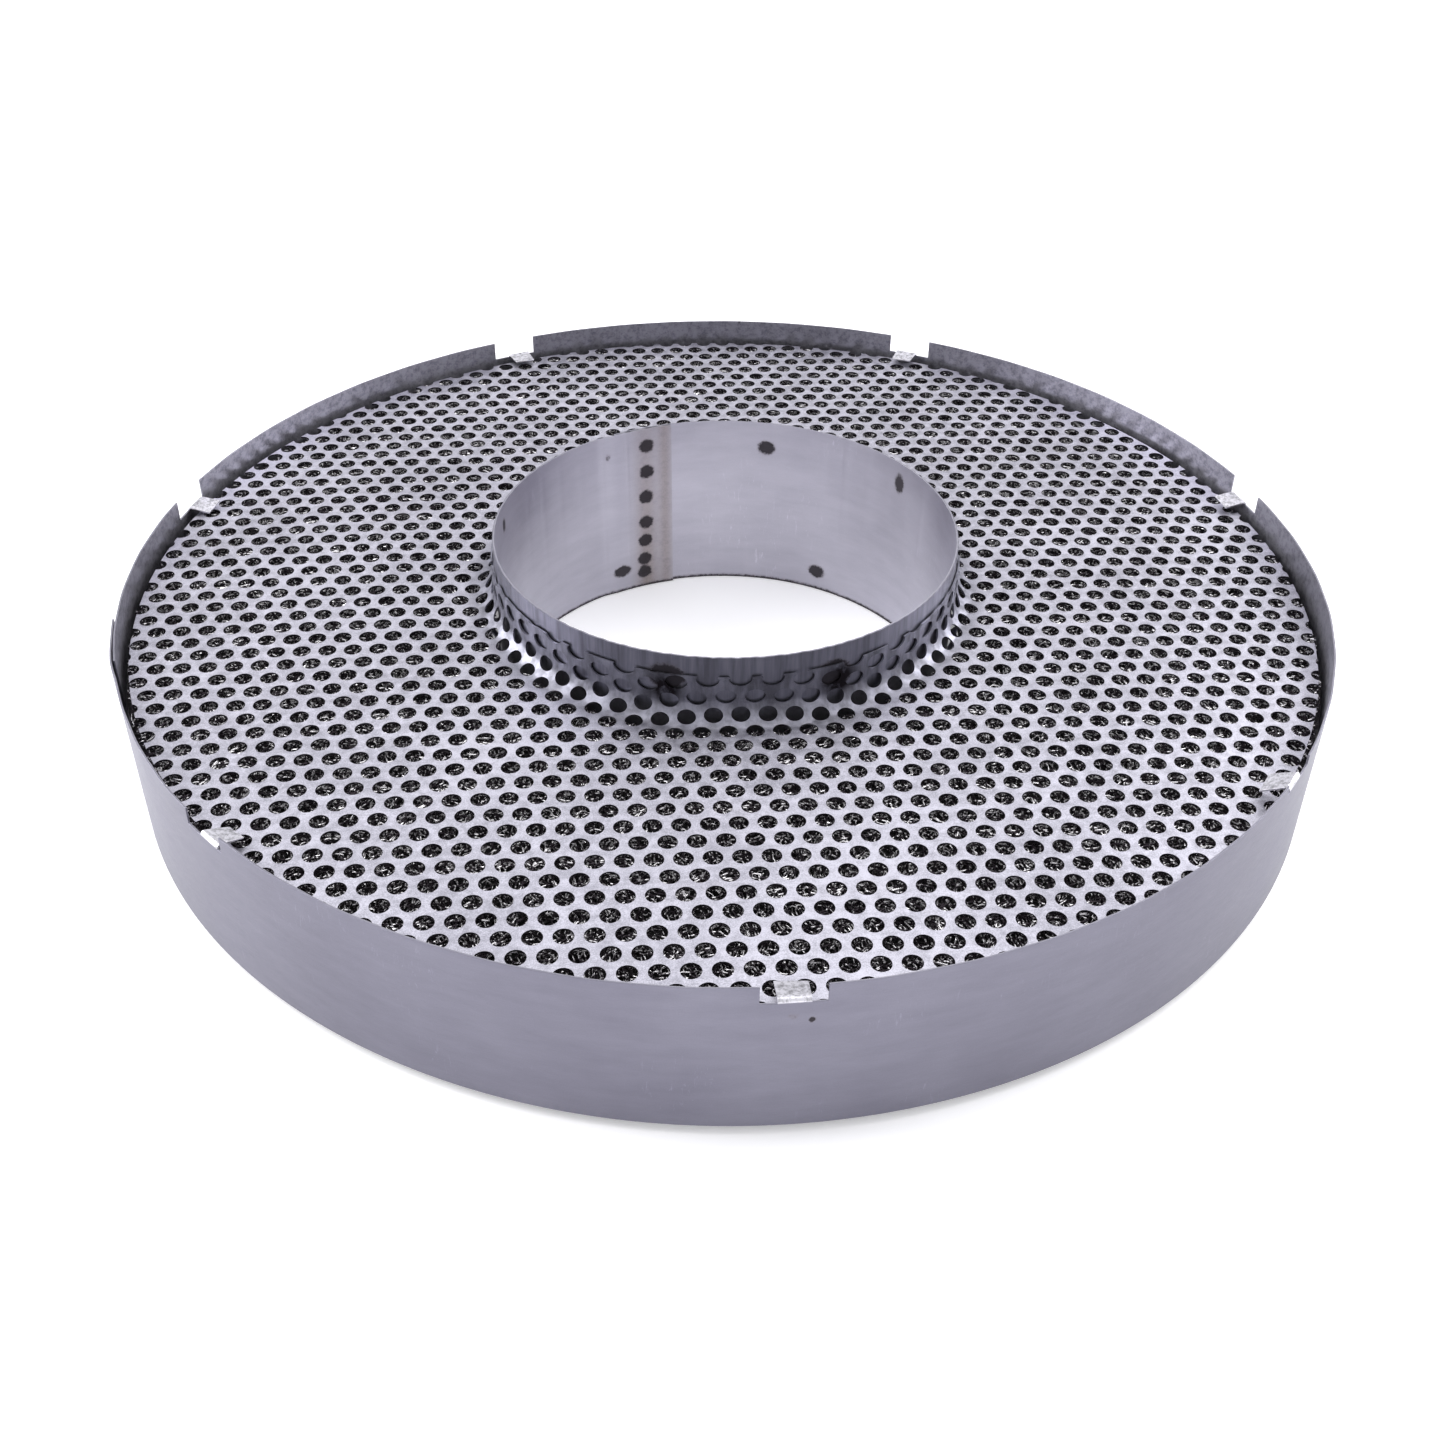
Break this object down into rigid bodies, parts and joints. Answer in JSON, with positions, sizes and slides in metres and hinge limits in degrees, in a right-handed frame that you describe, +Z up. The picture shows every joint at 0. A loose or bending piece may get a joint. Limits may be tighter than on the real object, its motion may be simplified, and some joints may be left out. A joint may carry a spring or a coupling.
{
  "type": "ring burner element",
  "caption": "Ring-shaped burner element: steel band and centre tube holding two perforated plates with knitted wire mesh between them.",
  "frame": {"origin": "on the ring's axis, level with the tube's lower rim, on which the element stands", "axes": "+Z up along the ring's axis, +X along the rows of perforations"},
  "size_m": [0.3444, 0.3444, 0.0584],
  "materials": {
    "band_steel": "mill-finish rolled stainless sheet, satin",
    "tube_steel": "mill-finish rolled stainless sheet, satin, with heat marks at the spot welds",
    "plate_steel": "punched stainless sheet, fine matt grain",
    "mesh_wire": "knitted stainless wire, darkened"
  },
  "bodies": {
    "root": {"outer_band": "band_steel", "inner_tube": "tube_steel", "top_perforated_plate": "plate_steel", "bottom_perforated_plate": "plate_steel", "knitted_mesh_layer_1": "mesh_wire", "knitted_mesh_layer_2": "mesh_wire", "knitted_mesh_layer_3": "mesh_wire", "knitted_mesh_layer_4": "mesh_wire"}
  },
  "joints": []
}
